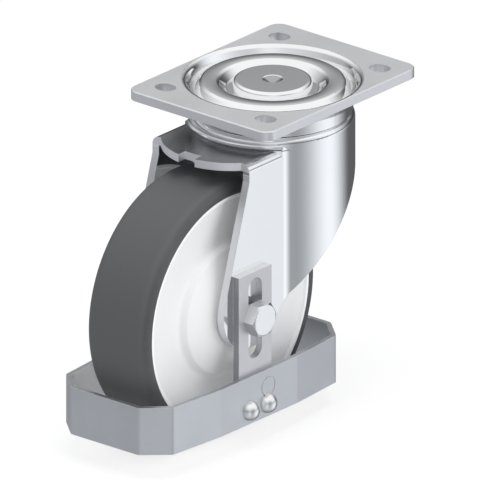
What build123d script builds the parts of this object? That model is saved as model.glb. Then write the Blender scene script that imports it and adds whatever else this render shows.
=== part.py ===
from build123d import *
import os
from math import asin, atan2, cos, radians, sin, sqrt, tan

# A swivel castor with a foot guard. The origin is the centre of the mounting plate's top face, on
# the swivel axis. Z points up, Y the way the castor rolls (the wheel trails at -Y) and X along the
# axle. The bolt's head is at +X. All sizes are millimetres.

# Mounting plate
plate_length = 140.0
plate_width = 110.0
plate_thickness = 6.0
plate_corner_radius = 8.0
plate_edge_rounding = 0.6
bolt_spacing_x = 77.5
bolt_spacing_y = 105.0
bolt_slot_width = 11.0
bolt_slot_travel = 2.5

# Pressed centre of the plate: an outer groove, a flat ring and a recess for the kingpin's head
groove_run = 2.8
groove_floor_width = 2.4
groove_past_dust_ring = 1.6
groove_depth = 6.0
ring_slope_run = 4.0
recess_slope_run = 4.8
ring_drop = 1.3
recess_inside_track = 9.6
recess_depth = 6.5
recess_wall = 5.5
recess_wall_run = 2.0
recess_wall_lean = 2.0
groove_wall = 4.8
groove_wall_run = 1.4
plate_step_run = 0.9
pressing_border = 1.9
press_rounding = 2.9
press_floor_rounding = 1.3

# Upper row of swivel balls, between the plate and the fork
upper_pitch_radius = 37.2
upper_ball_diameter = 9.0
upper_ball_count = 18
track_gap = 2.85
track_lip = 1.5
track_crown = 4.5
step_lean = 1.2
recess_clearance = 2.0
small_rounding = 0.5

# Lower row of swivel balls, between the fork and the lower race
lower_pitch_radius = 25.5
lower_ball_diameter = 7.0
lower_ball_count = 14
lower_track_gap = 3.0
lower_race_radius = 33.0
lower_race_wall = 4.5
lower_hub_radius = 15.0
lower_race_rounding = 2.0
race_edge_rounding = 0.8

ball_clearance = 0.12
running_gap = 0.3
fit_clearance = 0.05

# Kingpin and its nut
kingpin_radius = 10.0
kingpin_head_margin = 3.8
kingpin_head_drop = 0.6
kingpin_head_rounding = 2.3
kingpin_dimple_radius = 6.2
kingpin_dimple_depth = 3.2
kingpin_dimple_floor = 0.4
kingpin_thread_past_nut = 2.5
kingpin_nut_across = 30.0
kingpin_nut_height = 13.0
kingpin_nut_face_radius = 14.2
thread_chamfer = 1.0
nut_chamfer_angle = 30.0

# Dust ring and rubber seal round the swivel head
dust_ring_past_track = 4.2
dust_ring_wall = 2.0
dust_ring_bottom = -19.0
seal_wall = 1.9
seal_height = 6.5
seal_lip = 1.0

# Fork, pressed from one sheet
fork_sheet = 5.0
fork_head_ledge = 1.2
fork_shoulder_rounding = 4.6
fork_track_rim = 1.9
fork_bore_radius = 19.0
fork_leg_span = 75.0
fork_crown_drop = 6.7
fork_bend_rounding = 5.0
fork_waist_rounding = 9.0
fork_foot_rounding = 3.0
fork_crown_radius = 41.5
fork_crown_centre_y = -38.3
fork_notch_width = 12.5
fork_notch_y = -73.0
fork_leg_top_z = -37.0
fork_leg_end_radius = 25.0
fork_leg_end_ahead = 1.4
fork_leg_end_rise = 4.0
fork_front_slope = 46.0
fork_inner_rounding = 2.0

# Axle
axle_y = -66.0
axle_z = -121.5
axle_radius = 6.0
bolt_head_across = 19.0
bolt_head_height = 8.0
bolt_head_face_radius = 9.2
bolt_thread_past_nut = 3.0
nut_height = 11.0
nut_hexagon_height = 7.9
nut_collar_radius = 8.6
nut_collar_rounding = 1.8
washer_radius = 12.0
washer_thickness = 2.5
axle_tube_radius = 7.5
thrust_washer_radius = 10.4
thrust_washer_thickness = 3.0

# Wheel
wheel_radius = 80.0
wheel_width = 46.0
tread_thickness = 7.8
tread_lip = 0.8
tread_side_flat = 0.5
tread_key_height = 2.2
tread_key_width = 16.0
tread_key_base_width = 12.0
rim_setback = 0.25
rim_wall = 2.9
rim_bevel_rise = 1.2
rim_bevel_depth = 1.4
rim_slope_run = 15.3
web_run = 11.5
web_dish = 4.25
web_rounding = 100.0
boss_slope_run = 3.0
boss_setback = 0.25
boss_foot_rounding = 3.0
boss_edge_rounding = 2.0
hub_end_radius = 21.0
hub_end_rounding = 1.5
hub_bore_radius = 15.5

# Ball bearings in the hub
bearing_radius = 17.5
bearing_width = 11.0
bearing_pitch_radius = 12.5
bearing_ball_diameter = 6.0
bearing_ball_count = 8
bearing_inner_ring_radius = 10.6
bearing_outer_ring_bore = 14.4
bearing_edge_rounding = 0.6
shield_thickness = 0.6
shield_inset = 0.5
cage_wall = 1.6
cage_width = 7.6

# Foot guard
guard_length = 177.4
guard_end_step = 19.0
guard_shoulder_length = 150.0
guard_shoulder_step = 3.5
guard_side_length = 70.0
guard_wall = 3.0
guard_height = 30.0
guard_top_z = -156.5
guard_bend_rounding = 4.0
strap_width = 30.0
strap_thickness = 4.45
strap_top_z = -92.5
strap_lift = 1.5
slot_width = 12.5
slot_length = 51.0
slot_drop = 0.5
rivet_spacing = 16.0
rivet_drop = 21.5
rivet_shank_radius = 3.0
rivet_head_radius = 6.2
rivet_head_height = 5.6
rivet_inner_radius = 4.6
rivet_inner_height = 1.6
mark_radius = 6.4
mark_width = 0.7
mark_depth = 0.35
mark_offset_y = 8.5
mark_drop = 11.0

# Heights that follow from the sizes above
upper_ball_radius = upper_ball_diameter / 2
upper_track_radius = upper_ball_radius + ball_clearance
upper_ball_z = -ring_drop - track_crown - upper_track_radius
plate_track_z = upper_ball_z + track_gap / 2
fork_track_z = upper_ball_z - track_gap / 2
groove_under_z = -groove_depth - groove_wall
recess_under_z = -recess_depth - recess_wall
fork_head_z = dust_ring_bottom - running_gap
fork_head_under_z = fork_head_z - fork_sheet
fork_crown_z = fork_head_z - fork_crown_drop
fork_crown_under_z = fork_crown_z - fork_sheet
fork_inner_z = recess_under_z - recess_clearance
fork_race_z = upper_ball_z - upper_track_radius - fork_sheet
lower_ball_radius = lower_ball_diameter / 2
lower_track_radius = lower_ball_radius + ball_clearance
lower_ball_z = fork_race_z - lower_track_gap / 2
lower_race_z = lower_ball_z - lower_track_gap / 2
lower_race_under_z = lower_ball_z - lower_track_radius - lower_race_wall

# Widths, radii and places that follow from the sizes above
fork_track_radius = upper_pitch_radius + upper_ball_radius + fork_track_rim
dust_ring_radius = fork_track_radius + dust_ring_past_track
fork_head_radius = dust_ring_radius + fork_head_ledge
groove_floor_outer = dust_ring_radius + groove_past_dust_ring
groove_edge_radius = groove_floor_outer + groove_run
groove_floor_inner = groove_floor_outer - groove_floor_width
ring_outer_radius = groove_floor_inner - ring_slope_run
recess_radius = upper_pitch_radius - recess_inside_track
ring_inner_radius = recess_radius + recess_slope_run
kingpin_head_radius = recess_radius - kingpin_head_margin
fork_corner_y = axle_y
fork_leg_end_y = axle_y + fork_leg_end_ahead
fork_leg_end_z = axle_z + fork_leg_end_rise
hub_length = fork_leg_span - 2 * (fork_sheet + thrust_washer_thickness)
tread_seat_radius = wheel_radius - tread_thickness
tread_rounding = tread_thickness - tread_lip - tread_side_flat
rim_width = wheel_width - 2 * rim_setback
rim_bevel_radius = tread_seat_radius - rim_wall
web_radius = rim_bevel_radius - rim_slope_run
web_inner_radius = web_radius - web_run
web_face_x = rim_width / 2 - web_dish
boss_radius = web_inner_radius - boss_slope_run
boss_face_x = rim_width / 2 - boss_setback
guard_width = fork_leg_span + 2 * (fit_clearance + strap_thickness + guard_wall)
guard_shoulder_width = guard_width - 2 * guard_shoulder_step
guard_end_width = guard_width - 2 * guard_end_step

UP = (Align.CENTER, Align.CENTER, Align.MIN)
DOWN = (Align.CENTER, Align.CENTER, Align.MAX)


def section(*corners):
    """A closed flat face from corners given as (across, up, rounding)."""
    points = [(across, up) for across, up, _ in corners]
    roundings = [rounding for _, _, rounding in corners]
    return make_face(FilletPolyline(*points, radius=roundings, close=True))


def turned_about_z(*corners):
    """A solid of revolution about the swivel axis, from (radius, height, rounding) corners."""
    return revolve(Plane.XZ * section(*corners), Axis.Z)


def turned_about_axle(*corners):
    """A solid of revolution about the axle, from (distance along X, radius, rounding) corners."""
    return Pos(0, axle_y, axle_z) * revolve(section(*corners), Axis.X)


def tube_x(outer, inner, start, end):
    """A plain ring about the axle between two places along X."""
    return turned_about_axle((start, inner, 0), (end, inner, 0), (end, outer, 0), (start, outer, 0))


def rod_x(radius, start, end, centre_y, centre_z):
    """A plain round bar along X."""
    disc = Pos(centre_y, centre_z) * Circle(radius)
    return Pos(start, 0, 0) * extrude(Plane.YZ * disc, end - start)


def plate_x(outline, start, end):
    """An outline drawn in Y and Z, thickened along X from start to end."""
    return Pos(start, 0, 0) * extrude(Plane.YZ * outline, end - start)


def mirrored(shape):
    """The same piece, or group of pieces, on the other side of the wheel."""
    return Compound([mirror(solid, Plane.YZ) for solid in shape.solids()])


def both_sides(corners):
    """Corners of the wheel's right half, then the same ones for its left half."""
    return corners + [(-x, radius, rounding) for x, radius, rounding in reversed(corners)]


def ball_track(pitch_radius, height, track_radius):
    """The rolled groove that a row of swivel balls runs in."""
    return revolve(Plane.XZ * (Pos(pitch_radius, height) * Circle(track_radius)), Axis.Z)


def ball_row(pitch_radius, height, radius, count):
    """Separate balls evenly round the swivel axis."""
    places = PolarLocations(pitch_radius, count)
    return Compound([Pos(0, 0, height) * (place * Sphere(radius)) for place in places])


def top_plate():
    blank = extrude(RectangleRounded(plate_width, plate_length, plate_corner_radius), -plate_thickness)
    blank = chamfer(blank.faces().sort_by(Axis.Z)[-1].edges(), plate_edge_rounding)
    slot = SlotOverall(bolt_slot_width + bolt_slot_travel, bolt_slot_width)
    slots = Sketch() + GridLocations(bolt_spacing_x, bolt_spacing_y, 2, 2) * slot
    blank -= extrude(slots, -plate_thickness)
    rim = groove_edge_radius + pressing_border
    track_edge = upper_pitch_radius + upper_ball_radius + track_lip
    centre = turned_about_z(
        (rim, 0, 0),
        (groove_edge_radius, 0, press_rounding),
        (groove_floor_outer, -groove_depth, press_floor_rounding),
        (groove_floor_inner, -groove_depth, press_floor_rounding),
        (ring_outer_radius, -ring_drop, press_rounding),
        (ring_inner_radius, -ring_drop, press_rounding),
        (recess_radius, -recess_depth, press_floor_rounding),
        (kingpin_radius + fit_clearance, -recess_depth, 0),
        (kingpin_radius + fit_clearance, recess_under_z, 0),
        (recess_radius + recess_wall_run, recess_under_z, press_floor_rounding),
        (recess_radius + recess_wall_run + recess_wall_lean, plate_track_z, press_floor_rounding),
        (track_edge, plate_track_z, 0),
        (track_edge + step_lean, groove_under_z, small_rounding),
        (groove_floor_outer + groove_wall_run, groove_under_z, press_floor_rounding),
        (groove_edge_radius + plate_step_run, -plate_thickness, press_floor_rounding),
        (rim, -plate_thickness, 0),
    )
    centre -= ball_track(upper_pitch_radius, upper_ball_z, upper_track_radius)
    return blank - Cylinder(rim, plate_thickness, align=DOWN) + centre


def dust_ring():
    return turned_about_z(
        (dust_ring_radius - dust_ring_wall, dust_ring_bottom, small_rounding),
        (dust_ring_radius, dust_ring_bottom, small_rounding),
        (dust_ring_radius, groove_under_z, 0),
        (dust_ring_radius - dust_ring_wall, groove_under_z, 0),
    )


def swivel_seal():
    """A rubber lip inside the dust ring, just clear of the fork's raised track."""
    outer = dust_ring_radius - dust_ring_wall
    inner = fork_track_radius + running_gap
    top = groove_under_z
    return turned_about_z(
        (outer, top - seal_height, 0),
        (outer, top, 0),
        (outer - seal_wall / 2, top, 0),
        (inner, top - seal_height + seal_lip, 0),
        (inner, top - seal_height, 0),
    )


def kingpin():
    head_top = -kingpin_head_drop
    end = lower_race_under_z - kingpin_nut_height - kingpin_thread_past_nut
    pin = turned_about_z(
        (0, head_top, 0),
        (kingpin_head_radius, head_top, kingpin_head_rounding),
        (kingpin_head_radius, -recess_depth, 0),
        (kingpin_radius, -recess_depth, 0),
        (kingpin_radius, end + thread_chamfer, 0),
        (kingpin_radius - thread_chamfer, end, 0),
        (0, end, 0),
    )
    dimple = Cone(kingpin_dimple_floor, kingpin_dimple_radius, kingpin_dimple_depth, align=DOWN)
    return pin - Pos(0, 0, head_top) * dimple


def hex_nut(across, height, bore, face_radius):
    """A hexagon nut standing on z = 0, its corners turned off at both ends."""
    corner = across / sqrt(3)
    chamfer_height = (corner - face_radius) * tan(radians(nut_chamfer_angle))
    turned = turned_about_z(
        (0, 0, 0),
        (face_radius, 0, 0),
        (corner, chamfer_height, 0),
        (corner, height - chamfer_height, 0),
        (face_radius, height, 0),
        (0, height, 0),
    )
    body = extrude(RegularPolygon(across / 2, 6, major_radius=False), height)
    return (body & turned) - Cylinder(bore, height, align=UP)


def kingpin_nut():
    nut = hex_nut(kingpin_nut_across, kingpin_nut_height, kingpin_radius, kingpin_nut_face_radius)
    return Pos(0, 0, lower_race_under_z - kingpin_nut_height) * nut


def lower_race():
    """The cup that the nut clamps to the plate, with the lower balls' track on its rim."""
    bore = kingpin_radius + fit_clearance
    cup = turned_about_z(
        (bore, lower_race_under_z, 0),
        (lower_race_radius, lower_race_under_z, lower_race_rounding),
        (lower_race_radius, lower_race_z, race_edge_rounding),
        (lower_hub_radius, lower_race_z, race_edge_rounding),
        (lower_hub_radius, recess_under_z, 0),
        (bore, recess_under_z, 0),
    )
    return cup - ball_track(lower_pitch_radius, lower_ball_z, lower_track_radius)


def leg_side_outline():
    """The fork seen along the axle: a slanted front edge and a leaning back edge, both run into
    the leg's round end."""
    radius = fork_leg_end_radius
    end = Vector(fork_leg_end_y, fork_leg_end_z)
    slope = radians(fork_front_slope)
    front = fork_head_radius + fork_sheet
    front_touch = end + Vector(sin(slope), -cos(slope)) * radius
    front_z = front_touch.Y + (front - front_touch.X) * tan(slope)
    corner = Vector(fork_corner_y, fork_leg_top_z)
    down = end - corner
    lean = asin(radius / down.length) + atan2(-down.X, -down.Y)
    back_touch = end + Vector(-cos(lean), sin(lean)) * radius
    far = 2 * fork_notch_y
    outline = make_face(Polyline(
        (front, 0), (front, front_z), front_touch, end, back_touch, corner,
        (fork_corner_y, fork_crown_under_z), (far, fork_crown_under_z), (far, 0), close=True,
    ))
    return outline + Pos(end.X, end.Y) * Circle(radius)


def fork_plan(inset):
    """The fork seen from above: a round front run into two flat legs, drawn in by the inset."""
    half_span = fork_leg_span / 2 - inset
    far = -2 * fork_notch_y + inset
    legs = Pos(0, -far / 2) * Rectangle(2 * half_span, far)
    outline = Circle(fork_head_radius - inset) + legs
    waist_y = -sqrt((fork_head_radius - inset) ** 2 - half_span ** 2)
    waists = [outline.vertices().sort_by_distance((side * half_span, waist_y))[0] for side in (-1, 1)]
    return fillet(waists, fork_waist_rounding + inset)


def crown_cut():
    """What is trimmed off behind the crown: past its bowed rear edge and out of its notch."""
    far = -2 * fork_notch_y
    kept = Pos(0, fork_crown_centre_y) * Circle(fork_crown_radius)
    kept += Pos(0, fork_corner_y + far / 2) * Rectangle(2 * far, far)
    kept -= Pos(0, fork_notch_y - far / 2) * Rectangle(fork_notch_width, far)
    trimmed = Rectangle(2 * far, 4 * far) - kept
    return Pos(0, 0, fork_crown_under_z) * extrude(trimmed, -fork_crown_under_z)


def foot_ring():
    """The hollow rounding where the crown's flat top meets the upright wall of the head."""
    wall = fork_head_radius
    rounding = fork_foot_rounding
    low = fork_crown_z - fork_bend_rounding
    middle = rounding * (1 - sin(radians(45)))
    hollow = ThreePointArc(
        (wall + rounding, fork_crown_z),
        (wall + middle, fork_crown_z + middle),
        (wall, fork_crown_z + rounding),
    )
    inside = wall - fork_sheet / 2
    edge = Polyline((wall, fork_crown_z + rounding), (inside, fork_crown_z + rounding), (inside, low),
                    (wall + rounding, low), (wall + rounding, fork_crown_z))
    return revolve(Plane.XZ * make_face([hollow, edge]), Axis.Z)


def fork_head():
    """The outside of the swivel head, with the raised track that the upper balls run on."""
    track_inner = upper_pitch_radius - upper_ball_radius - track_lip
    return turned_about_z(
        (0, fork_crown_under_z, 0),
        (fork_head_radius, fork_crown_under_z, 0),
        (fork_head_radius, fork_head_z, fork_shoulder_rounding),
        (fork_track_radius, fork_head_z, small_rounding),
        (fork_track_radius, fork_track_z, small_rounding),
        (track_inner, fork_track_z, small_rounding),
        (track_inner - step_lean, fork_inner_z, small_rounding),
        (0, fork_inner_z, 0),
    )


def fork_head_void(deep):
    """The hollow under the swivel head, one sheet thickness inside it."""
    wall = fork_head_radius - fork_sheet
    race_edge = lower_race_radius + fork_sheet
    return turned_about_z(
        (0, deep, 0),
        (wall, deep, 0),
        (wall, fork_head_under_z, fork_inner_rounding),
        (race_edge + step_lean, fork_head_under_z, small_rounding),
        (race_edge, fork_race_z, small_rounding),
        (0, fork_race_z, 0),
    )


def fork():
    """Head, round front wall, crown and both legs, pressed from one sheet."""
    deep = fork_leg_end_z - 2 * fork_leg_end_radius
    reach = fork_head_radius + fork_sheet
    shell = Pos(0, 0, deep) * extrude(fork_plan(0), fork_crown_z - deep)
    rim = shell.faces().sort_by(Axis.Z)[-1].edges().sort_by(Axis.Y)[1:]
    shell = fillet(rim, fork_bend_rounding)
    foot = foot_ring() & (Pos(0, 0, fork_foot_rounding) * shell)
    body = shell + fork_head() + foot
    body -= Pos(0, 0, deep) * extrude(fork_plan(fork_sheet), fork_crown_under_z - deep)
    body -= fork_head_void(deep)
    body -= Cylinder(fork_bore_radius, -deep, align=DOWN)
    body -= ball_track(upper_pitch_radius, upper_ball_z, upper_track_radius)
    body -= ball_track(lower_pitch_radius, lower_ball_z, lower_track_radius)
    body -= crown_cut()
    body &= plate_x(leg_side_outline(), -reach, reach)
    return body - rod_x(axle_radius + fit_clearance, -reach, reach, axle_y, axle_z)


def upper_balls():
    return ball_row(upper_pitch_radius, upper_ball_z, upper_ball_radius, upper_ball_count)


def lower_balls():
    return ball_row(lower_pitch_radius, lower_ball_z, lower_ball_radius, lower_ball_count)


def strap_outer_x():
    return guard_width / 2 - guard_wall


def axle_bolt():
    """The bolt's head bears on the right strap, and its shank passes both straps and both legs."""
    seat = strap_outer_x()
    corner = bolt_head_across / sqrt(3)
    chamfer_height = (corner - bolt_head_face_radius) * tan(radians(nut_chamfer_angle))
    hexagon = RegularPolygon(bolt_head_across / 2, 6, major_radius=False)
    turned = turned_about_axle(
        (seat, 0, 0),
        (seat, corner, 0),
        (seat + bolt_head_height - chamfer_height, corner, 0),
        (seat + bolt_head_height, bolt_head_face_radius, 0),
        (seat + bolt_head_height, 0, 0),
    )
    head = plate_x(Pos(axle_y, axle_z) * hexagon, seat, seat + bolt_head_height) & turned
    end = -seat - washer_thickness - nut_height - bolt_thread_past_nut
    shank = turned_about_axle(
        (end, 0, 0),
        (end, axle_radius - thread_chamfer, 0),
        (end + thread_chamfer, axle_radius, 0),
        (seat, axle_radius, 0),
        (seat, 0, 0),
    )
    return head + shank


def axle_nut():
    """A self-locking nut: a hexagon with a round collar."""
    seat = strap_outer_x() + washer_thickness
    nut = hex_nut(bolt_head_across, nut_hexagon_height, axle_radius, bolt_head_face_radius)
    collar = Cylinder(nut_collar_radius, nut_height, align=UP)
    collar = fillet(collar.edges().sort_by(Axis.Z)[-1], nut_collar_rounding)
    nut += collar - Cylinder(axle_radius, nut_height, align=UP)
    return Pos(-seat, axle_y, axle_z) * (Rot(0, -90, 0) * (Rot(0, 0, 90) * nut))


def nut_washer():
    seat = strap_outer_x()
    return tube_x(washer_radius, axle_radius + fit_clearance, -seat - washer_thickness, -seat)


def leg_inner_x():
    return fork_leg_span / 2 - fork_sheet


def axle_tube():
    """The spacer that the legs are clamped on and the bearings sit on."""
    half = leg_inner_x()
    return tube_x(axle_tube_radius, axle_radius + fit_clearance, -half, half)


def thrust_washer():
    bore = axle_tube_radius + fit_clearance
    return tube_x(thrust_washer_radius, bore, hub_length / 2, leg_inner_x())


def bearing_centre_x():
    return hub_length / 2 - bearing_width / 2


def bearing_track():
    """The groove that the wheel bearing's balls run in, shared by both rings."""
    track_radius = bearing_ball_diameter / 2 + ball_clearance
    circle = Pos(bearing_centre_x(), bearing_pitch_radius) * Circle(track_radius)
    return Pos(0, axle_y, axle_z) * revolve(circle, Axis.X)


def bearing_inner():
    start = hub_length / 2 - bearing_width
    bore = axle_tube_radius + fit_clearance
    ring = turned_about_axle(
        (start, bore, bearing_edge_rounding),
        (hub_length / 2, bore, bearing_edge_rounding),
        (hub_length / 2, bearing_inner_ring_radius, 0),
        (start, bearing_inner_ring_radius, 0),
    )
    return ring - bearing_track()


def bearing_outer():
    start = hub_length / 2 - bearing_width
    ring = turned_about_axle(
        (start, bearing_outer_ring_bore, 0),
        (hub_length / 2, bearing_outer_ring_bore, 0),
        (hub_length / 2, bearing_radius, bearing_edge_rounding),
        (start, bearing_radius, bearing_edge_rounding),
    )
    return ring - bearing_track()


def bearing_shield():
    end = hub_length / 2 - shield_inset
    inner = bearing_inner_ring_radius + running_gap
    return tube_x(bearing_outer_ring_bore, inner, end - shield_thickness, end)


def around_axle(count, shape):
    """Copies of a shape evenly round the axle, the first straight above it."""
    return [Pos(0, axle_y, axle_z) * (Rot(360 * step / count, 0, 0) * shape) for step in range(count)]


def bearing_balls():
    ball = Pos(bearing_centre_x(), 0, bearing_pitch_radius) * Sphere(bearing_ball_diameter / 2)
    return Compound(around_axle(bearing_ball_count, ball))


def bearing_cage():
    """A moulded ring between the races with a round pocket through it for each ball."""
    middle = bearing_centre_x()
    cage = tube_x(bearing_pitch_radius + cage_wall / 2, bearing_pitch_radius - cage_wall / 2,
                  middle - cage_width / 2, middle + cage_width / 2)
    drill = Cylinder(bearing_ball_diameter / 2 + ball_clearance, 4 * cage_wall)
    for pocket in around_axle(bearing_ball_count, Pos(middle, 0, bearing_pitch_radius) * drill):
        cage -= pocket
    return cage


def wheel_core():
    """The moulded centre: rim, dished web, boss and hub, with a raised key that holds the tread."""
    rim = rim_width / 2
    hub_end = hub_length / 2
    bearing_seat = hub_end - bearing_width
    return turned_about_axle(*both_sides([
        (tread_key_width / 2, tread_seat_radius + tread_key_height, 0),
        (tread_key_base_width / 2, tread_seat_radius, 0),
        (rim, tread_seat_radius, 0),
        (rim, rim_bevel_radius + rim_bevel_rise, 0),
        (rim - rim_bevel_depth, rim_bevel_radius, small_rounding),
        (web_face_x, web_radius, web_rounding),
        (web_face_x, web_inner_radius, boss_foot_rounding),
        (boss_face_x, boss_radius, boss_edge_rounding),
        (hub_end, hub_end_radius, hub_end_rounding),
        (hub_end, bearing_radius, small_rounding),
        (bearing_seat, bearing_radius, 0),
        (bearing_seat, hub_bore_radius, 0),
    ]))


def wheel_tread():
    """The moulded-on tread, with round shoulders, on the core's rim and round its key."""
    side = wheel_width / 2
    return turned_about_axle(*both_sides([
        (tread_key_width / 2, tread_seat_radius + tread_key_height, 0),
        (tread_key_base_width / 2, tread_seat_radius, 0),
        (rim_width / 2, tread_seat_radius, 0),
        (side, tread_seat_radius + tread_lip, 0),
        (side, wheel_radius, tread_rounding),
    ]))


def guard_plan(inset):
    """The guard seen from above, an eight-sided loop drawn in by the inset."""
    quarter = [
        (guard_end_width / 2, guard_length / 2),
        (guard_shoulder_width / 2, guard_shoulder_length / 2),
        (guard_width / 2, guard_side_length / 2),
    ]
    points = quarter + [(x, -y) for x, y in reversed(quarter)]
    points += [(-x, -y) for x, y in quarter] + [(-x, y) for x, y in reversed(quarter)]
    loop = make_face(Polyline(*points, close=True))
    loop = offset(loop, -inset, kind=Kind.INTERSECTION)
    return Pos(0, axle_y) * fillet(loop.vertices(), guard_bend_rounding - inset)


def rivet_places():
    return [(axle_y - rivet_spacing / 2, guard_top_z - rivet_drop),
            (axle_y + rivet_spacing / 2, guard_top_z - rivet_drop)]


def rivet_holes():
    reach = guard_width
    return Part() + [rod_x(rivet_shank_radius, -reach, reach, y, z) for y, z in rivet_places()]


def guard_band():
    low = guard_top_z - guard_height
    band = extrude(guard_plan(0) - guard_plan(guard_wall), guard_height)
    band = Pos(0, 0, low) * band - rivet_holes()
    ring = Circle(mark_radius) - Circle(mark_radius - mark_width)
    place = Pos(axle_y + mark_offset_y, guard_top_z - mark_drop)
    return band - plate_x(place * ring, guard_width / 2 - mark_depth, guard_width)


def guard_strap():
    """The upright that hangs the guard on the axle bolt, slotted so that its height can be set."""
    inner = fork_leg_span / 2 + fit_clearance
    bottom = guard_top_z - guard_height + strap_lift
    height = strap_top_z - bottom
    blank = Pos(axle_y, bottom + height / 2) * Rectangle(strap_width, height)
    slot = Rot(0, 0, 90) * SlotOverall(slot_length, slot_width)
    blank -= Pos(axle_y, axle_z - slot_drop) * slot
    return plate_x(blank, inner, strap_outer_x()) - rivet_holes()


def guard_rivets():
    """Domed rivets that hold a strap to the band, with a low head inside."""
    face = guard_width / 2
    inner = fork_leg_span / 2 + fit_clearance
    dome = (rivet_head_radius ** 2 + rivet_head_height ** 2) / (2 * rivet_head_height)
    crown = face + rivet_head_height
    halfway = atan2(rivet_head_radius, dome - rivet_head_height) / 2
    shoulder = (crown - dome * (1 - cos(halfway)), dome * sin(halfway))
    head = ThreePointArc((face, rivet_head_radius), shoulder, (crown, 0))
    body = Polyline(
        (crown, 0),
        (inner - rivet_inner_height, 0),
        (inner - rivet_inner_height, rivet_inner_radius),
        (inner, rivet_inner_radius),
        (inner, rivet_shank_radius),
        (face, rivet_shank_radius),
        (face, rivet_head_radius),
    )
    rivet = revolve(make_face([head, body]), Axis.X)
    return Compound([Pos(0, y, z) * rivet for y, z in rivet_places()])


NODES = {
    "top_plate": top_plate(),
    "dust_ring": dust_ring(),
    "swivel_seal": swivel_seal(),
    "kingpin": kingpin(),
    "kingpin_nut": kingpin_nut(),
    "lower_race": lower_race(),
    "upper_balls": upper_balls(),
    "lower_balls": lower_balls(),
    "fork": fork(),
    "axle_bolt": axle_bolt(),
    "axle_nut": axle_nut(),
    "nut_washer": nut_washer(),
    "axle_tube": axle_tube(),
    "wheel_core": wheel_core(),
    "wheel_tread": wheel_tread(),
    "guard_band": guard_band(),
}
PAIRS = {
    "thrust_washer": thrust_washer(),
    "bearing_inner": bearing_inner(),
    "bearing_outer": bearing_outer(),
    "bearing_shield": bearing_shield(),
    "bearing_balls": bearing_balls(),
    "bearing_cage": bearing_cage(),
    "guard_strap": guard_strap(),
    "guard_rivets": guard_rivets(),
}
for name, shape in PAIRS.items():
    NODES[name + "_right"] = shape
    NODES[name + "_left"] = mirrored(shape)

os.makedirs("parts", exist_ok=True)
for name, shape in NODES.items():
    export_step(shape, f"parts/{name}.step")
    print(name, round(shape.volume / 1000, 2), "cm3")
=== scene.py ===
# %% [markdown]
# # Dressing a swivel castor in Blender
# The castor's shapes come from a CAD program: a pressed mounting plate, two rows of balls, a fork bent
# from one sheet of steel, a nylon wheel with a soft tread, and a steel guard that keeps feet out.
# This lesson loads those shapes, sets up a small photo studio round them, and gives every piece the
# surface that its real metal, nylon or rubber has. A few small pieces that CAD left plain are modelled
# here too. Everything is in metres. Z is up, Y is the way the castor rolls and X runs along the axle.

from math import pi, radians, sin, sqrt

import bmesh
import bpy
from mathutils import Euler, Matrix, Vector


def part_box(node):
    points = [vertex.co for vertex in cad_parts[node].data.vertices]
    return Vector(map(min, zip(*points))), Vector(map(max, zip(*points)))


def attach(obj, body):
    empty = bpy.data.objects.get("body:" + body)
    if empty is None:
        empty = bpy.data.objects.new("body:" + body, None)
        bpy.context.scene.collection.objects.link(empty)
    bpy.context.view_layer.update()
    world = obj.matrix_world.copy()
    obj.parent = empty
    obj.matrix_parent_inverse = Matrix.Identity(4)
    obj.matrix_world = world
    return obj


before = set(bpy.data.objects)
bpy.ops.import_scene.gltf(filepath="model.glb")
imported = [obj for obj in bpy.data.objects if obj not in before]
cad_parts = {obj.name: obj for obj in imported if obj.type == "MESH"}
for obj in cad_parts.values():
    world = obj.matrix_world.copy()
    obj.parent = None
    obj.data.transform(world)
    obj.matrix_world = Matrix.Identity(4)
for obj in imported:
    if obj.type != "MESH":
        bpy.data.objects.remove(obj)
scene = bpy.context.scene
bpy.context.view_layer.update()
floor_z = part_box("wheel_tread")[0][2]
axle = Vector((0, -0.066, -0.1215))
print("pieces from CAD:", len(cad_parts))
print("the wheel stands on z =", round(floor_z, 4))

# %% [markdown]
# ## The camera
# The picture shows the castor from behind its right side and a little above. Edges that are parallel on
# the object stay parallel in the picture, so it was drawn without perspective. An orthographic camera
# does the same. Its place is worked out from two angles: how far it is turned about Z, and how far it is
# raised. Its width of view is set so that the plate and the guard reach as far across the frame as they
# do in the picture.

# %% Camera
camera_azimuth = radians(40.03)
camera_elevation = radians(22.04)
view_width = 0.2842
view_right = -0.01933
view_up = -0.09615

camera_turn = Euler((pi / 2 - camera_elevation, 0, camera_azimuth))
right, up, back = camera_turn.to_matrix().transposed()
camera_data = bpy.data.cameras.new("camera")
camera_data.type = "ORTHO"
camera_data.ortho_scale = view_width
camera = bpy.data.objects.new("camera", camera_data)
scene.collection.objects.link(camera)
camera.rotation_euler = camera_turn
camera.location = right * view_right + up * view_up + back * 2
scene.camera = camera
scene.view_settings.view_transform = "Standard"
print("camera looks along", [round(value, 3) for value in -back])

# %% [markdown]
# ## Wiring nodes by script
# Every surface below is a small network of shader nodes. Two helpers keep the wiring short. One adds a
# node and fills in its settings and sockets: a number or colour is typed in, and the output of another
# node is linked. The other makes a node group, so that one effect can be used in many materials.

# %% Helpers for nodes
def add(tree, kind, settings=None, **sockets):
    new = tree.nodes.new("ShaderNode" + kind)
    for name, value in (settings or {}).items():
        setattr(new, name, value)
    for name, value in sockets.items():
        key = int(name[1:]) if name[0] == "i" and name[1:].isdigit() else name.replace("_", " ")
        socket = new.inputs[key]
        if isinstance(value, bpy.types.NodeSocket):
            tree.links.new(value, socket)
        else:
            socket.default_value = value
    return new


def math(tree, operation, first, second=0.0, third=0.0):
    clamp = operation.endswith("_CLAMPED")
    settings = {"operation": operation.removesuffix("_CLAMPED"), "use_clamp": clamp}
    return add(tree, "Math", settings, i0=first, i1=second, i2=third).outputs[0]


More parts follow.
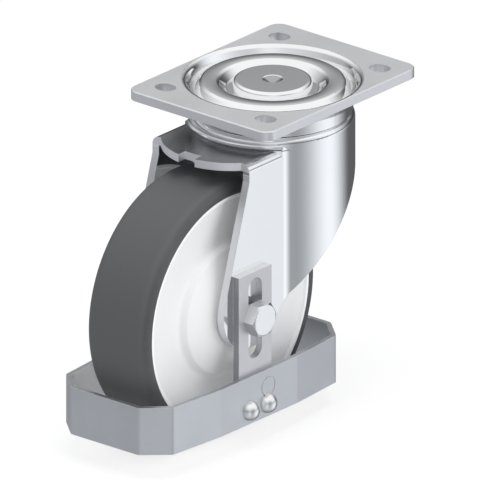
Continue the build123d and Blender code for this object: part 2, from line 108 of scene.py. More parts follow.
def blend(tree, factor, low, high):
    mix = add(tree, "Mix", {"data_type": "RGBA"}, i0=factor, i6=low, i7=high)
    return mix.outputs[2]


def ease(tree, value, start, end, low=0.0, high=1.0):
    settings = {"interpolation_type": "SMOOTHSTEP"}
    ramp = add(tree, "MapRange", settings, i0=value, i1=start, i2=end, i3=low, i4=high)
    return ramp.outputs[0]


def new_group(name, inputs, outputs):
    tree = bpy.data.node_groups.new(name, "ShaderNodeTree")
    for label, kind, value in inputs:
        socket = tree.interface.new_socket(label, in_out="INPUT", socket_type="NodeSocket" + kind)
        socket.default_value = value
    for label, kind in outputs:
        tree.interface.new_socket(label, in_out="OUTPUT", socket_type="NodeSocket" + kind)
    return tree, tree.nodes.new("NodeGroupInput").outputs, tree.nodes.new("NodeGroupOutput").inputs


def use_group(tree, group, **sockets):
    new = tree.nodes.new("ShaderNodeGroup")
    new.node_tree = group
    for name, value in sockets.items():
        socket = new.inputs[name.replace("_", " ")]
        if isinstance(value, bpy.types.NodeSocket):
            tree.links.new(value, socket)
        else:
            socket.default_value = value
    return new.outputs


def new_material(name):
    material = bpy.data.materials.new(name)
    material.use_nodes = True
    material.node_tree.nodes.clear()
    return material, material.node_tree


print("helpers ready")

# %% [markdown]
# ## The floor
# The castor stands on pale paper. The paper is modelled as one large sheet, wide enough that no view
# from above runs off its edge. Seen by the camera, part of its brightness is its own, so it comes out
# white, and the rest is lit by the lamps, so the castor still throws its shadow there. What is seen
# straight by the camera, or in a mirror or glass, is told apart by a helper that the background uses too.

# %% Floor
floor_size = 6.0
floor_lit_share = 0.24
floor_brightness = 1.02


def seen_directly(tree):
    path = add(tree, "LightPath").outputs
    seen = math(tree, "ADD", path["Is Camera Ray"], path["Is Glossy Ray"])
    return math(tree, "ADD_CLAMPED", seen, path["Is Transmission Ray"])


bpy.ops.object.select_all(action="DESELECT")
bpy.ops.mesh.primitive_grid_add(
    x_subdivisions=8, y_subdivisions=8, size=floor_size, location=(0, 0, floor_z),
)
floor = bpy.context.object
floor.name = "paper_floor"

paper, tree = new_material("white_paper")
grain = add(tree, "TexNoise", Scale=900.0, Detail=4.0)
tint = blend(tree, grain.outputs["Fac"], (0.88, 0.88, 0.88, 1), (0.92, 0.92, 0.92, 1))
lit = add(tree, "BsdfDiffuse", Color=tint)
faint = add(tree, "BsdfDiffuse", Color=(floor_lit_share, floor_lit_share, floor_lit_share, 1))
own = add(tree, "Emission", Color=(1, 1, 1, 1), Strength=floor_brightness - floor_lit_share)
bright = add(tree, "AddShader", i0=faint.outputs[0], i1=own.outputs[0])
shown = add(tree, "MixShader", i0=seen_directly(tree), i1=lit.outputs[0], i2=bright.outputs[0])
add(tree, "OutputMaterial", Surface=shown.outputs[0])
floor.data.materials.append(paper)
print("floor is", floor_size, "m wide")

# %% [markdown]
# ## The light tent
# Polished steel has hardly any colour of its own: it shows what stands round it. A photographer puts such
# a piece in a tent of white paper and lets a few grey strips hang in it, so that the metal gets soft
# dark bands beside its bright ones. Here the tent is one large sphere that only reflections see. Round
# its sides it has a small and a large white panel, a dark strip, a dark curtain and grey cloth, each at
# its own compass direction. It turns white overhead and grey underneath, and a dark seam runs round it
# close to level, which draws fine dark lines along rounded edges. The fork's round front wall mirrors
# one direction after another, so each panel becomes an upright stripe there. The panels were placed and
# toned until those stripes came out as in the picture. The floor is kept out of the reflections.

# %% Light tent
tent_radius = 2.6
seam_height = 0.02
seam_width = 0.17
seam_share = 0.22
overhead_starts, overhead_full = sin(radians(10)), sin(radians(48))
ground_full, ground_ends = sin(radians(-70)), sin(radians(-36))
ground_share = 0.9
cool_white = (0.965, 0.99, 1.03)
grey_cloth = 0.47
tent_panels = {
    "grey cloth": (-180, grey_cloth),
    "end of the grey": (-75, grey_cloth),
    "small white panel": (-46, 0.78),
    "dark strip": (-19, 0.36),
    "large white panel": (36, 1.02),
    "dark curtain": (84, 0.12),
    "end of the curtain": (142, 0.09),
    "grey again": (180, grey_cloth),
}
bpy.ops.object.select_all(action="DESELECT")
bpy.ops.mesh.primitive_uv_sphere_add(
    segments=48, ring_count=24, radius=tent_radius, location=(0, 0, 0),
)
tent = bpy.context.object
tent.name = "light_tent"
tent.visible_camera = False
tent.visible_diffuse = False
tent.visible_shadow = False
floor.visible_glossy = False

cloth, tree = new_material("tent_cloth")
cloth.cycles.emission_sampling = "NONE"
place = add(tree, "TexCoord").outputs["Object"]
across = add(tree, "SeparateXYZ", Vector=place).outputs
angle = math(tree, "ARCTAN2", across["Y"], across["X"])
turn = math(tree, "MULTIPLY_ADD", angle, 0.5 / pi, 0.5)
low = add(tree, "ValToRGB", i0=turn)
low.color_ramp.interpolation = "EASE"
stops = low.color_ramp.elements
stops[0].position, stops[1].position = 0.0, 1.0
for degrees, bright_there in tent_panels.values():
    stop = stops[0] if degrees == -180 else stops[-1] if degrees == 180 else stops.new(degrees / 360 + 0.5)
    stop.color = tuple(bright_there * part for part in cool_white) + (1,)
height = math(tree, "DIVIDE", across["Z"], tent_radius)
overhead = ease(tree, height, overhead_starts, overhead_full)
colour = blend(tree, overhead, low.outputs["Color"], (1, 1, 1, 1))
away = math(tree, "ABSOLUTE", math(tree, "ADD", height, -seam_height))
seam = ease(tree, away, 0.0, seam_width, seam_share, 1.0)
colour = blend(tree, seam, (0.02, 0.02, 0.022, 1), colour)
under = ease(tree, height, ground_full, ground_ends, ground_share, 0.0)
colour = blend(tree, under, colour, (0.60, 0.60, 0.61, 1))
glow = add(tree, "Emission", Color=colour, Strength=1.0)
add(tree, "OutputMaterial", Surface=glow.outputs[0])
tent.data.materials.append(cloth)
print("tent panels:", ", ".join(tent_panels))

# %% [markdown]
# ## Soft lamps
# Nylon and rubber scatter light, so they need lamps. One wide lamp hangs high above, as a softbox would.
# A second stands on the camera's right, a little above the castor, and lights the near side of the
# wheel. A weak one hangs high on the left. The world adds an even fill. All of it is kept at a level
# where a surface comes out about as bright as its colour says. The metal doesn't mirror these lamps: it
# has the tent.

# %% Lamps and world
world = bpy.data.worlds.new("studio")
scene.world = world
world.use_nodes = True
tree = world.node_tree
tree.nodes.clear()
fill_strength = 0.62
lamps_aim = Vector((0, -0.03, -0.1))
fill = add(tree, "Background", Color=(0.97, 0.985, 1, 1), Strength=fill_strength)
white = add(tree, "Background", Color=(1, 1, 1, 1), Strength=1.0)
sky = add(tree, "MixShader", i0=seen_directly(tree), i1=fill.outputs[0], i2=white.outputs[0])
add(tree, "OutputWorld", Surface=sky.outputs[0])


def soft_lamp(name, place, size, power):
    data = bpy.data.lights.new(name, "AREA")
    data.shape = "DISK"
    data.size = size
    data.energy = power
    lamp = bpy.data.objects.new(name, data)
    scene.collection.objects.link(lamp)
    lamp.location = place
    lamp.rotation_euler = (lamps_aim - lamp.location).to_track_quat("-Z", "Y").to_euler()
    lamp.visible_glossy = False


soft_lamp("softbox_above", place=Vector((0.1, -0.12, 1.3)), size=1.0, power=10)
soft_lamp("softbox_right", place=Vector((1.1, 0.1, 0.25)), size=0.9, power=4.5)
soft_lamp("softbox_rear", place=Vector((-0.2, -1.2, 1.0)), size=0.9, power=1.6)

# %% [markdown]
# ## Effects that several finishes share
# Real edges are never perfectly sharp: they are a little round, they catch light, and they are the first
# place where a finish rubs thin. The Bevel node gives the rounded normal, and the angle between it and
# the true normal tells where the edges are. Handling also leaves hair-fine scratches, and no rolled or
# moulded surface is quite even in colour. Each of these effects is a node group, built once.

# %% Edge wear group
wear_group, inside, result = new_group(
    "edge_wear",
    [("Width", "Float", 0.0006), ("Roundness", "Float", 0.0003), ("Patches", "Float", 260.0)],
    [("Wear", "Float"), ("Normal", "Vector")],
)
wide = add(wear_group, "Bevel", {"samples": 6}, Radius=inside["Width"]).outputs[0]
fine = add(wear_group, "Bevel", {"samples": 4}, Radius=inside["Roundness"]).outputs[0]
flat = add(wear_group, "NewGeometry").outputs["Normal"]
facing = add(wear_group, "VectorMath", {"operation": "DOT_PRODUCT"}, i0=wide, i1=flat).outputs["Value"]
edge = ease(wear_group, facing, 0.995, 0.86)
spot = add(wear_group, "TexCoord").outputs["Object"]
patches = add(wear_group, "TexNoise", Vector=spot, Scale=inside["Patches"], Detail=6.0, Roughness=0.65)
broken = ease(wear_group, patches.outputs["Fac"], 0.38, 0.62, 0.35, 1.0)
wear_group.links.new(math(wear_group, "MULTIPLY", edge, broken), result["Wear"])
wear_group.links.new(fine, result["Normal"])
print("edge wear group has", len(wear_group.nodes), "nodes")

# %% Scratch group
scratch_group, inside, result = new_group(
    "hair_scratches",
    [("Scale", "Float", 60.0), ("Sparse", "Float", 0.62)],
    [("Scratch", "Float")],
)
spot = add(scratch_group, "TexCoord").outputs["Object"]
layers = []
for turned in ((0.3, 0.2, 0.5), (1.1, 0.7, 1.9), (0.6, 2.1, 1.2)):
    laid = add(scratch_group, "Mapping", Vector=spot, Rotation=turned, Scale=(1.0, 22.0, 22.0))
    lines = add(scratch_group, "TexNoise", Vector=laid.outputs[0], Scale=inside["Scale"], Detail=2.0)
    layers.append(ease(scratch_group, lines.outputs["Fac"], inside["Sparse"], 0.80))
both = math(scratch_group, "MAXIMUM", layers[0], layers[1])
scratch_group.links.new(math(scratch_group, "MAXIMUM", both, layers[2]), result["Scratch"])
print("scratch layers:", len(layers))

# %% Unevenness group
uneven_group, inside, result = new_group(
    "unevenness",
    [("Scale", "Float", 18.0), ("Low", "Float", 0.0), ("High", "Float", 1.0)],
    [("Value", "Float")],
)
spot = add(uneven_group, "TexCoord").outputs["Object"]
cloudy = add(uneven_group, "TexNoise", Vector=spot, Scale=inside["Scale"], Detail=5.0, Roughness=0.55)
ramp = add(
    uneven_group, "MapRange", i0=cloudy.outputs["Fac"], i1=0.3, i2=0.7,
    i3=inside["Low"], i4=inside["High"],
)
uneven_group.links.new(ramp.outputs[0], result["Value"])
print("unevenness group ready")

# %% Turned rings group
rings_group, inside, result = new_group(
    "turned_rings",
    [("Spacing", "Float", 0.0006), ("Centre", "Vector", (0, 0, 0)), ("Along", "Vector", (1, 0, 0))],
    [("Ring", "Float"), ("Radius", "Float")],
)
spot = add(rings_group, "TexCoord").outputs["Object"]
arm = add(rings_group, "VectorMath", {"operation": "SUBTRACT"}, i0=spot, i1=inside["Centre"]).outputs[0]
off = add(rings_group, "VectorMath", {"operation": "CROSS_PRODUCT"}, i0=arm, i1=inside["Along"]).outputs[0]
radius = add(rings_group, "VectorMath", {"operation": "LENGTH"}, i0=off).outputs["Value"]
wobble = add(rings_group, "TexNoise", Vector=spot, Scale=35.0, Detail=2.0).outputs["Fac"]
phase = math(rings_group, "DIVIDE", radius, inside["Spacing"])
phase = math(rings_group, "MULTIPLY_ADD", wobble, 1.2, phase)
wave = math(rings_group, "SINE", math(rings_group, "MULTIPLY", phase, 2 * pi))
rings_group.links.new(wave, result["Ring"])
rings_group.links.new(radius, result["Radius"])
print("turned rings group ready")

# %% [markdown]
# ## Polished fork steel
# The fork is cold-rolled sheet, pressed and then polished until it mirrors. Two things keep it from
# looking like glass. The sheet is very slightly wavy, which a large, shallow bump gives. And the cut
# edges of the sheet were sheared, not polished: there the surface is duller and carries short marks
# across its thickness. The cut edges are found from the surface's own direction and place. The top of
# the crown is duller too, and its colour is a painted reflection of the plate's dark underside: a grey
# that is darker near the head, as in the picture.

# %% Helpers for metal
def metal(tree, colour, roughness, normal):
    shader = add(
        tree, "BsdfPrincipled", Base_Color=colour, Metallic=1.0, Roughness=roughness, Normal=normal,
    )
    add(tree, "OutputMaterial", Surface=shader.outputs[0])


def bumped(tree, height, distance, normal):
    return add(tree, "Bump", Height=height, Distance=distance, Normal=normal).outputs[0]


def between(tree, value, start, end, soft):
    over = ease(tree, value, start - soft, start + soft)
    under = ease(tree, value, end - soft, end + soft, 1.0, 0.0)
    return math(tree, "MULTIPLY", over, under)


print("metal helpers ready")

# %% Where the fork's sheet was cut
legs_from_y = (-0.0330, -0.0322)
legs_from_z = (-0.0332, -0.0326)
crown_rear_y = (-0.0560, -0.0545)
crown_edge_z = (-0.0312, -0.0258)
crown_half_width = (0.0355, 0.0365)

polished_steel, tree = new_material("polished_fork_steel")
coords = add(tree, "TexCoord").outputs
place = add(tree, "SeparateXYZ", Vector=coords["Object"]).outputs
facing = add(tree, "SeparateXYZ", Vector=coords["Normal"]).outputs
sideways = ease(tree, math(tree, "ABSOLUTE", facing["X"]), 0.15, 0.3, 1.0, 0.0)
behind = ease(tree, place["Y"], *legs_from_y, 1.0, 0.0)
below = ease(tree, place["Z"], *legs_from_z, 1.0, 0.0)
leg_edge = math(tree, "MULTIPLY", sideways, math(tree, "MULTIPLY", behind, below))
slanted = math(tree, "MULTIPLY", ease(tree, facing["Z"], -0.35, -0.5), below)
level = ease(tree, math(tree, "ABSOLUTE", facing["Z"]), 0.1, 0.25, 1.0, 0.0)
rear = ease(tree, place["Y"], *crown_rear_y, 1.0, 0.0)
crown_edge = math(tree, "MULTIPLY", level, rear)
crown_edge = math(tree, "MULTIPLY", crown_edge, between(tree, place["Z"], *crown_edge_z, 0.0002))
within = ease(tree, math(tree, "ABSOLUTE", place["X"]), *crown_half_width, 1.0, 0.0)
crown_edge = math(tree, "MULTIPLY", crown_edge, within)
cut = math(tree, "MAXIMUM", math(tree, "MAXIMUM", leg_edge, slanted), crown_edge)
print("the mask of the cut edges takes", len(tree.nodes), "nodes")

# %% Polished fork steel
crown_top_z = (-0.0275, -0.0255)
crown_front_y = (-0.03, -0.01)
crown_reflection_radii = (0.056, 0.074)

wear = use_group(tree, wear_group, Width=0.0009, Roundness=0.00035, Patches=220.0)
scratch = use_group(tree, scratch_group, Scale=38.0, Sparse=0.66)["Scratch"]
cloud = use_group(tree, uneven_group, Scale=14.0, Low=0.045, High=0.075)["Value"]
on_top = between(tree, place["Z"], *crown_top_z, 0.0003)
crown_top = math(tree, "MULTIPLY", ease(tree, facing["Z"], 0.86, 0.97), on_top)
crown_top = math(tree, "MULTIPLY", crown_top, ease(tree, place["Y"], *crown_front_y, 1.0, 0.0))
laid = add(tree, "Mapping", Vector=coords["Object"], Scale=(60.0, 900.0, 900.0)).outputs[0]
shear = add(tree, "TexNoise", Vector=laid, Scale=1.0, Detail=3.0)
roughness = math(tree, "MULTIPLY_ADD", scratch, 0.10, cloud)
roughness = math(tree, "MULTIPLY_ADD", wear["Wear"], 0.10, roughness)
roughness = math(tree, "MAXIMUM", roughness, math(tree, "MULTIPLY", cut, 0.45))
roughness = math(tree, "MAXIMUM", roughness, math(tree, "MULTIPLY", crown_top, 0.24))
uneven = use_group(tree, uneven_group, Scale=30.0)["Value"]
mirror = blend(tree, uneven, (0.920, 0.928, 0.940, 1), (0.940, 0.948, 0.958, 1))
# Painted reflection: the crown's top is a dark grey, darkest near the head, for the plate's underside
# mirrored there.
from_pin = use_group(tree, rings_group, Along=(0.0, 0.0, 1.0))["Radius"]
outward = ease(tree, from_pin, *crown_reflection_radii)
crown_painted_reflection = blend(tree, outward, (0.26, 0.265, 0.27, 1), (0.52, 0.525, 0.53, 1))
colour = blend(tree, crown_top, mirror, crown_painted_reflection)
higher = ease(tree, place["Z"], -0.050, -0.035)
cut_colour = blend(tree, higher, (0.76, 0.765, 0.78, 1), (0.88, 0.885, 0.90, 1))
colour = blend(tree, cut, colour, cut_colour)
wavy = add(tree, "TexNoise", Vector=coords["Object"], Scale=22.0, Detail=1.0).outputs["Fac"]
normal = bumped(tree, wavy, 0.00004, wear["Normal"])
normal = bumped(tree, math(tree, "MULTIPLY", shear.outputs["Fac"], cut), 0.00012, normal)
normal = bumped(tree, scratch, 0.000004, normal)
metal(tree, colour, roughness, normal)
print("fork steel has", len(tree.nodes), "nodes")

# %% [markdown]
# ## Zinc on the pressed plate
# The mounting plate is zinc-plated. Its flat border is satin, as it came from the barrel, with a fine
# grain and a faint bloom. Inside the outer groove's rim the rings shine like chrome. One material makes
# both: the distance from the swivel axis decides how rough the zinc is. In the picture the flat ring is
# shaded as if it were slightly domed, so it gets a wide, shallow bump. The mark in the kingpin's head
# gets painted shade: the zinc is darkened there.

# %% Zinc plate
ring_middle, ring_reach, ring_dome = 0.0378, 0.0054, 0.00034
shine_ends, shine_fade = 0.0541, 0.0004
dimple_shade_edge = (0.0060, 0.0054)


def zinc(name, satin_colour, satin_rough, bright_rough):
    material, tree = new_material(name)
    coords = add(tree, "TexCoord").outputs
    wear = use_group(tree, wear_group, Width=0.0008, Roundness=0.0003, Patches=240.0)
    rings = use_group(tree, rings_group, Spacing=0.0011, Along=(0.0, 0.0, 1.0))
    satin = ease(tree, rings["Radius"], shine_ends - shine_fade, shine_ends + shine_fade)
    scratch = use_group(tree, scratch_group, Scale=32.0, Sparse=0.64)["Scratch"]
    bloom = use_group(tree, uneven_group, Scale=16.0)["Value"]
    speck = add(tree, "TexNoise", Vector=coords["Object"], Scale=2600.0, Detail=3.0).outputs["Fac"]
    dark = tuple(value * 0.94 for value in satin_colour[:3]) + (1,)
    border = blend(tree, bloom, dark, satin_colour)
    shiny = blend(tree, bloom, (0.88, 0.885, 0.89, 1), (0.92, 0.925, 0.93, 1))
    colour = blend(tree, satin, shiny, border)
    # Painted shade: the zinc is darkened in the mark at the centre of the kingpin's head.
    dimple_shade = ease(tree, rings["Radius"], *dimple_shade_edge, 0.0, 0.6)
    colour = blend(tree, dimple_shade, colour, (0.10, 0.10, 0.105, 1))
    colour = blend(tree, math(tree, "MULTIPLY", wear["Wear"], 0.5), colour, (0.88, 0.89, 0.91, 1))
    dull = math(tree, "MULTIPLY_ADD", bloom, 0.06, satin_rough)
    clean = math(tree, "MULTIPLY_ADD", bloom, 0.03, bright_rough)
    roughness = add(tree, "Mix", {"data_type": "FLOAT"}, i0=satin, i2=clean, i3=dull).outputs[0]
    roughness = math(tree, "MULTIPLY_ADD", scratch, 0.07, roughness)
    grain = math(tree, "MULTIPLY", speck, satin)
    normal = bumped(tree, grain, 0.00002, wear["Normal"])
    normal = bumped(tree, rings["Ring"], 0.0000012, normal)
    across = math(tree, "ABSOLUTE", math(tree, "SUBTRACT", rings["Radius"], ring_middle))
    across = math(tree, "DIVIDE", across, ring_reach)
    dome = math(tree, "SUBTRACT_CLAMPED", 1.0, math(tree, "POWER", across, 2.0))
    normal = bumped(tree, dome, ring_dome, normal)
    normal = bumped(tree, scratch, 0.000004, normal)
    metal(tree, colour, roughness, normal)
    return material


zinc_plate = zinc("zinc_plate_satin_and_bright", (0.87, 0.875, 0.895, 1), 0.42, 0.05)
head_zinc = zinc("kingpin_zinc", (0.80, 0.80, 0.82, 1), 0.30, 0.07)
print("zinc finishes:", zinc_plate.name, head_zinc.name)

# %% [markdown]
# ## Guard strip, fasteners and bearings
# The guard is bent from rolled strip and zinc-plated, but nobody polished it. Rolling leaves very fine
# lines along the strip, which blur its reflections. The bolt, nut, washers and rivets are plated bright:
# smooth on their ends and, but for the rivets, satin on their sides, with small dents from the barrel
# they tumbled in. The bearings' rings and balls are ground, which leaves finer lines still. Some tones
# here are painted light and shade that only follow what the picture shows: the straps' outer sides get
# painted shade and their tops a painted highlight, the band gets painted light inside its rear half and
# painted shade on its faces that look up, and the fasteners get painted shade on the faces that look down.

# %% Guard strip
def strip(name, deep, pale, painted_side_tone, painted_top_tone, reach):
    material, tree = new_material(name)
    coords = add(tree, "TexCoord").outputs
    facing = add(tree, "SeparateXYZ", Vector=coords["Normal"]).outputs
    arm = add(tree, "VectorMath", {"operation": "SUBTRACT"}, i0=coords["Object"], i1=tuple(axle)).outputs[0]
    arm = add(tree, "SeparateXYZ", Vector=arm).outputs
    outward = math(tree, "MULTIPLY", arm["X"], facing["X"])
    outward = math(tree, "MULTIPLY_ADD", arm["Y"], facing["Y"], outward)
    # Painted light: the inner faces of the rear half, shaded by the wheel, are made pale.
    inner_painted_light = math(tree, "MULTIPLY", ease(tree, outward, -0.010, -0.022), ease(tree, arm["Y"], 0.02, -0.02))
    far_side = ease(tree, math(tree, "ABSOLUTE", arm["Y"]), reach - 0.001, reach)
    side_painted_shade = math(tree, "MULTIPLY", far_side, ease(tree, math(tree, "ABSOLUTE", facing["Y"]), 0.90, 0.98))
    upward = ease(tree, facing["Z"], 0.90, 0.98)
    wear = use_group(tree, wear_group, Width=0.0009, Roundness=0.0003, Patches=200.0)
    laid = add(tree, "Mapping", Vector=coords["Object"], Scale=(40.0, 40.0, 2600.0)).outputs[0]
    rolled = add(tree, "TexNoise", Vector=laid, Scale=1.0, Detail=4.0).outputs["Fac"]
    bloom = use_group(tree, uneven_group, Scale=20.0)["Value"]
    scratch = use_group(tree, scratch_group, Scale=26.0, Sparse=0.62)["Scratch"]
    colour = blend(tree, bloom, deep, pale)
    # Painted light and shade: a dark tone on the outer sides, a tone of its own on faces that look up, and
    # painted light on the inner faces of the rear half.
    colour = blend(tree, side_painted_shade, colour, painted_side_tone)
    colour = blend(tree, upward, colour, painted_top_tone)
    colour = blend(tree, inner_painted_light, colour, (0.97, 0.97, 0.975, 1))
    colour = blend(tree, wear["Wear"], colour, (0.84, 0.85, 0.87, 1))
    roughness = math(tree, "MULTIPLY_ADD", rolled, 0.14, 0.42)
    roughness = math(tree, "MULTIPLY_ADD", scratch, -0.08, roughness)
    normal = bumped(tree, rolled, 0.000012, wear["Normal"])
    normal = bumped(tree, scratch, 0.000006, normal)
    metal(tree, colour, roughness, normal)
    return material


strap_low, strap_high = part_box("guard_strap_right")
strap_margin = 0.0005
strap_reach = max(strap_high[1] - axle.y, axle.y - strap_low[1]) - strap_margin
past_the_band = 0.2
band_pale = (0.72, 0.735, 0.765, 1)
# The band's faces that look up get a darker painted shade.
guard_steel = strip(
    "rolled_guard_strip", deep=(0.66, 0.675, 0.705, 1), pale=band_pale, painted_side_tone=band_pale,
    painted_top_tone=(0.50, 0.505, 0.53, 1), reach=past_the_band,
)
# The straps get painted shade on their outer sides and a painted highlight on their tops.
strap_steel = strip(
    "strap_steel_painted_shade_and_highlight", deep=(0.755, 0.745, 0.770, 1), pale=(0.815, 0.805, 0.830, 1),
    painted_side_tone=(0.36, 0.365, 0.375, 1), painted_top_tone=(0.97, 0.97, 0.975, 1), reach=strap_reach,
)
print("strip finishes:", guard_steel.name, strap_steel.name)

# %% Bright zinc fasteners
def fastener(name, smooth, side_rough):
    material, tree = new_material(name)
    coords = add(tree, "TexCoord").outputs
    wear = use_group(tree, wear_group, Width=0.0007, Roundness=0.00035, Patches=420.0)
    bloom = use_group(tree, uneven_group, Scale=90.0)["Value"]
    dents = add(tree, "TexVoronoi", {"feature": "SMOOTH_F1"}, Vector=coords["Object"], Scale=260.0)
    turned = use_group(tree, rings_group, Spacing=0.00045, Centre=tuple(axle), Along=(1.0, 0.0, 0.0))
    colour = blend(tree, bloom, (0.91, 0.913, 0.92, 1), (0.955, 0.957, 0.96, 1))
    colour = blend(tree, wear["Wear"], colour, (0.95, 0.95, 0.96, 1))
    facing = add(tree, "SeparateXYZ", Vector=coords["Normal"]).outputs
    # Painted shade: faces that look down are darkened.
    underside_painted_shade = ease(tree, facing["Z"], -0.2, -0.75, 0.0, 0.75)
    colour = blend(tree, underside_painted_shade, colour, (0.16, 0.165, 0.17, 1))
    side = ease(tree, math(tree, "ABSOLUTE", facing["X"]), 0.55, 0.25)
    roughness = math(tree, "MULTIPLY_ADD", bloom, 0.05, smooth)
    roughness = math(tree, "MULTIPLY_ADD", side, side_rough, roughness)
    normal = bumped(tree, ease(tree, dents.outputs["Distance"], 0.0, 0.8), 0.000006, wear["Normal"])
    normal = bumped(tree, turned["Ring"], 0.0000006, normal)
    metal(tree, colour, roughness, normal)
    return material


bolt_steel = fastener("bright_zinc_fasteners", 0.13, 0.32)
rivet_steel = fastener("headed_rivet_zinc", 0.26, 0.0)
print("fastener finishes:", bolt_steel.name, rivet_steel.name)

# %% Ground bearing steel
bearing_steel, tree = new_material("ground_bearing_steel")
wear = use_group(tree, wear_group, Width=0.0005, Roundness=0.0002, Patches=500.0)
ground = use_group(tree, rings_group, Spacing=0.0002, Centre=tuple(axle), Along=(1.0, 0.0, 0.0))
film = use_group(tree, uneven_group, Scale=150.0)["Value"]
colour = blend(tree, film, (0.74, 0.75, 0.76, 1), (0.80, 0.805, 0.81, 1))
roughness = math(tree, "MULTIPLY_ADD", film, 0.05, 0.07)
metal(tree, colour, roughness, bumped(tree, ground["Ring"], 0.000001, wear["Normal"]))
print("bearing steel ready")

# %% [markdown]
# ## Nylon and rubber
# The wheel's middle is one shot of natural nylon. It is off-white, and its surface copies the mould: fine
# turning rings, a faint cloudiness, and a soft sheen. Its rim, next to the tread, gets a painted
# highlight: a paler ring, as in the picture. The tread is a grey elastic compound, moulded round the rim.
# It is satin, its grain is very fine, and its crown is a little paler, as from rolling. The bearing cages
# and the locking ring are a yellower nylon.

# %% Nylon
rim_highlight_radii = (0.0688, 0.0696)
nylon_roughness = 0.40


def plastic(tree, colour, roughness, normal):
    shader = add(tree, "BsdfPrincipled", Base_Color=colour, Roughness=roughness, Normal=normal)
    add(tree, "OutputMaterial", Surface=shader.outputs[0])


def nylon(name, pale, deep):
    material, tree = new_material(name)
    coords = add(tree, "TexCoord").outputs
    wear = use_group(tree, wear_group, Width=0.0012, Roundness=0.0005, Patches=120.0)
    turned = use_group(tree, rings_group, Spacing=0.0009, Centre=tuple(axle), Along=(1.0, 0.0, 0.0))
    rim = ease(tree, turned["Radius"], *rim_highlight_radii)
    cloud = use_group(tree, uneven_group, Scale=26.0)["Value"]
    speck = add(tree, "TexNoise", Vector=coords["Object"], Scale=1500.0, Detail=3.0).outputs["Fac"]
    colour = blend(tree, cloud, deep, pale)
    # Painted highlight: the rim next to the tread is made paler.
    colour = blend(tree, rim, colour, (0.95, 0.95, 0.955, 1))
    colour = blend(tree, math(tree, "MULTIPLY", wear["Wear"], 0.8), colour, (0.97, 0.97, 0.965, 1))
    roughness = math(tree, "MULTIPLY_ADD", cloud, 0.08, nylon_roughness)
    normal = bumped(tree, speck, 0.000012, wear["Normal"])
    normal = bumped(tree, turned["Ring"], 0.000003, normal)
    plastic(tree, colour, roughness, normal)
    return material


wheel_nylon = nylon("natural_nylon", (0.86, 0.86, 0.862, 1), (0.83, 0.831, 0.833, 1))
cage_nylon = nylon("cage_nylon", (0.80, 0.74, 0.58, 1), (0.74, 0.68, 0.52, 1))
print("nylon finishes:", wheel_nylon.name, cage_nylon.name)

# %% Rubber
crown_radius = (0.0775, 0.0798)
worn_gain = 1.18


def rubber(name, deep, pale, rough, worn):
    material, tree = new_material(name)
    coords = add(tree, "TexCoord").outputs
    wear = use_group(tree, wear_group, Width=0.0012, Roundness=0.0005, Patches=150.0)
    radius = use_group(tree, rings_group, Centre=tuple(axle), Along=(1.0, 0.0, 0.0))["Radius"]
    crown = math(tree, "MULTIPLY", ease(tree, radius, *crown_radius), worn)
    cloud = use_group(tree, uneven_group, Scale=40.0)["Value"]
    speck = add(tree, "TexNoise", Vector=coords["Object"], Scale=1900.0, Detail=4.0).outputs["Fac"]
    pits = add(tree, "TexVoronoi", Vector=coords["Object"], Scale=1100.0).outputs["Distance"]
    colour = blend(tree, cloud, deep, pale)
    colour = blend(tree, crown, colour, tuple(value * worn_gain for value in pale[:3]) + (1,))
    roughness = math(tree, "MULTIPLY_ADD", speck, 0.10, rough)
    roughness = math(tree, "MULTIPLY_ADD", crown, 0.10, roughness)
    normal = bumped(tree, speck, 0.00003, wear["Normal"])
    normal = bumped(tree, pits, 0.00001, normal)
    plastic(tree, colour, roughness, normal)
    return material


tread_rubber = rubber(
    "grey_elastic_tread", deep=(0.066, 0.067, 0.069, 1), pale=(0.082, 0.083, 0.085, 1),
    rough=0.44, worn=1.0,
)
seal_rubber = rubber(
    "black_seal_rubber", deep=(0.012, 0.012, 0.012, 1), pale=(0.02, 0.02, 0.02, 1),
    rough=0.5, worn=0.0,
)
print("rubber finishes:", tread_rubber.name, seal_rubber.name)

# %% [markdown]
# ## Dressing the CAD pieces
# Each CAD piece names the finish that it is made in. Giving it the matching material is only a matter of
# filling its material slot. The straps and rivets of the guard get their own variants. The shapes
# themselves stay as the CAD program made them.

# %% Dress the CAD pieces
finish_of = {
    "zinc_plate": zinc_plate, "polished_steel": polished_steel, "bolt_steel": bolt_steel,
    "guard_steel": guard_steel, "bearing_steel": bearing_steel, "tread_rubber": tread_rubber,
    "wheel_nylon": wheel_nylon, "cage_nylon": cage_nylon, "seal_rubber": seal_rubber,
    "head_zinc": head_zinc,
}
own_finish = {"guard_strap": strap_steel, "guard_rivets": rivet_steel}
for name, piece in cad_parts.items():
    for material_slot in piece.material_slots:
        named = material_slot.material.name.split(".")[0]
        material_slot.material = own_finish.get(name.rpartition("_")[0], finish_of[named])
print("dressed", len(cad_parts), "pieces in", len(finish_of), "finishes")

# %% [markdown]
# ## Threads on the bolt and the kingpin
# A thread is a ridge that climbs round a bar. It could be a bump in the material, but its outline would
# stay smooth where the bar's end sticks out of the nut. Here a small triangle is drawn beside the axis and
# the Screw modifier winds it round, one pitch higher with every turn. One end of each ridge is hidden in
# its nut, and the other is closed by a small flat face.

# %% Helpers for modelling
def select_where(rule, kind="faces"):
    """Selects the faces (or edges) of the mesh in edit mode whose middle fits the rule."""
    mesh = bmesh.from_edit_mesh(bpy.context.object.data)
    for part in mesh.verts[:] + mesh.edges[:] + mesh.faces[:]:
        part.select = False
    chosen = mesh.faces if kind == "faces" else mesh.edges
    for part in chosen:
        middle = part.calc_center_median() if kind == "faces" else (part.verts[0].co + part.verts[1].co) / 2
        if rule(middle):
            part.select_set(True)
    bmesh.update_edit_mesh(bpy.context.object.data)


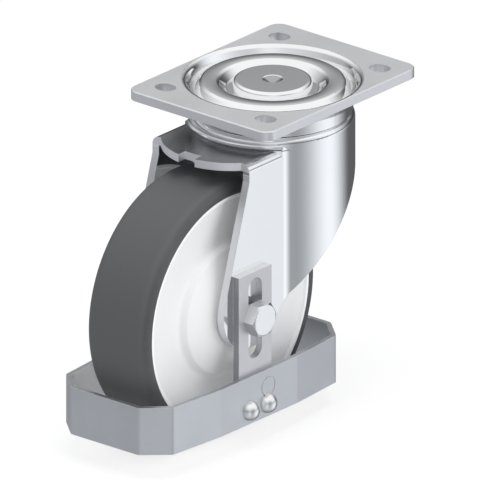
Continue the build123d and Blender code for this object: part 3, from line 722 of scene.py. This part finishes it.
def finish_piece(piece, name, material, body):
    bpy.ops.object.select_all(action="DESELECT")
    piece.select_set(True)
    bpy.context.view_layer.objects.active = piece
    bpy.ops.object.transform_apply(location=True, rotation=True, scale=True)
    bpy.ops.object.mode_set(mode="EDIT")
    bpy.ops.mesh.select_all(action="SELECT")
    bpy.ops.mesh.remove_doubles(threshold=0.000001)
    bpy.ops.mesh.fill_holes(sides=4)
    bpy.ops.mesh.normals_make_consistent(inside=False)
    bpy.ops.object.mode_set(mode="OBJECT")
    bpy.ops.object.shade_smooth_by_angle(angle=radians(35))
    piece.name = name
    piece.data.materials.clear()
    piece.data.materials.append(material)
    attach(piece, body)
    print(name, "has", len(piece.data.polygons), "faces")


print("modelling helpers ready")

# %% Threads
flank_share = 0.88
steps_in_turn = 48


def thread(name, core, crest, pitch, turns, turn_to, centre, body):
    bpy.ops.object.select_all(action="DESELECT")
    bpy.ops.mesh.primitive_circle_add(vertices=3, radius=1, fill_type="NGON", location=(0, 0, 0))
    ridge = bpy.context.object
    ridge.scale = (pitch * flank_share / sqrt(3), (crest - core) / 1.5, 1)
    ridge.rotation_euler = (pi / 2, pi / 2, 0)
    ridge.location = (core + (crest - core) / 3, 0, 0)
    bpy.ops.object.transform_apply(location=True, rotation=True, scale=True)
    wind = ridge.modifiers.new("wind", "SCREW")
    wind.axis = "Z"
    wind.angle = 2 * pi
    wind.screw_offset = pitch
    wind.iterations = turns
    wind.steps = wind.render_steps = steps_in_turn
    bpy.ops.object.modifier_apply(modifier="wind")
    ridge.rotation_euler = turn_to
    ridge.location = centre
    finish_piece(ridge, name, bolt_steel, body)


bolt_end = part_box("axle_bolt")[0][0]
pin_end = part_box("kingpin")[0][2]
bolt_plain_end = 0.0015
pin_plain_end = 0.0021
thread(
    "bolt_thread", core=0.0058, crest=0.00622, pitch=0.00175, turns=2, turn_to=Euler((0, pi / 2, 0)),
    centre=Vector((bolt_end + bolt_plain_end, axle.y, axle.z)), body="fork",
)
thread(
    "kingpin_thread", core=0.0097, crest=0.0102, pitch=0.0025, turns=1, turn_to=Euler((0, 0, 0)),
    centre=Vector((0, 0, pin_end + pin_plain_end)), body="plate",
)

# %% [markdown]
# ## Locking ring in the axle nut
# The axle nut holds by a nylon ring pressed into its collar. Only the ring's face shows, round the
# bolt. It is a short tube: a cylinder is added, its end faces are inset and joined, and its rim is
# rounded.

# %% Locking ring
nut_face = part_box("axle_nut")[0][0]
ring_outer, ring_inner, ring_proud = 0.0078, 0.0063, 0.0004
ring_rounding = 0.00025
bpy.ops.object.select_all(action="DESELECT")
bpy.ops.mesh.primitive_cylinder_add(
    vertices=64, radius=ring_outer, depth=2 * ring_proud, end_fill_type="NGON",
    location=(nut_face, axle.y, axle.z), rotation=(0, radians(90), 0),
)
ring = bpy.context.object
bpy.ops.object.mode_set(mode="EDIT")
select_where(lambda middle: abs(middle.z) > 0.9 * ring_proud and middle.xy.length < 0.001)
bpy.ops.mesh.inset(thickness=ring_outer - ring_inner, use_even_offset=True)
bpy.ops.mesh.bridge_edge_loops()
select_where(lambda middle: middle.z < -0.9 * ring_proud and middle.xy.length > 0.99 * ring_outer, "edges")
bpy.ops.mesh.bevel(offset=ring_rounding, segments=3, affect="EDGES")
bpy.ops.object.mode_set(mode="OBJECT")
finish_piece(ring, "nut_locking_ring", cage_nylon, "fork")

# %% [markdown]
# ## The end

# %% End
print("castor dressed")
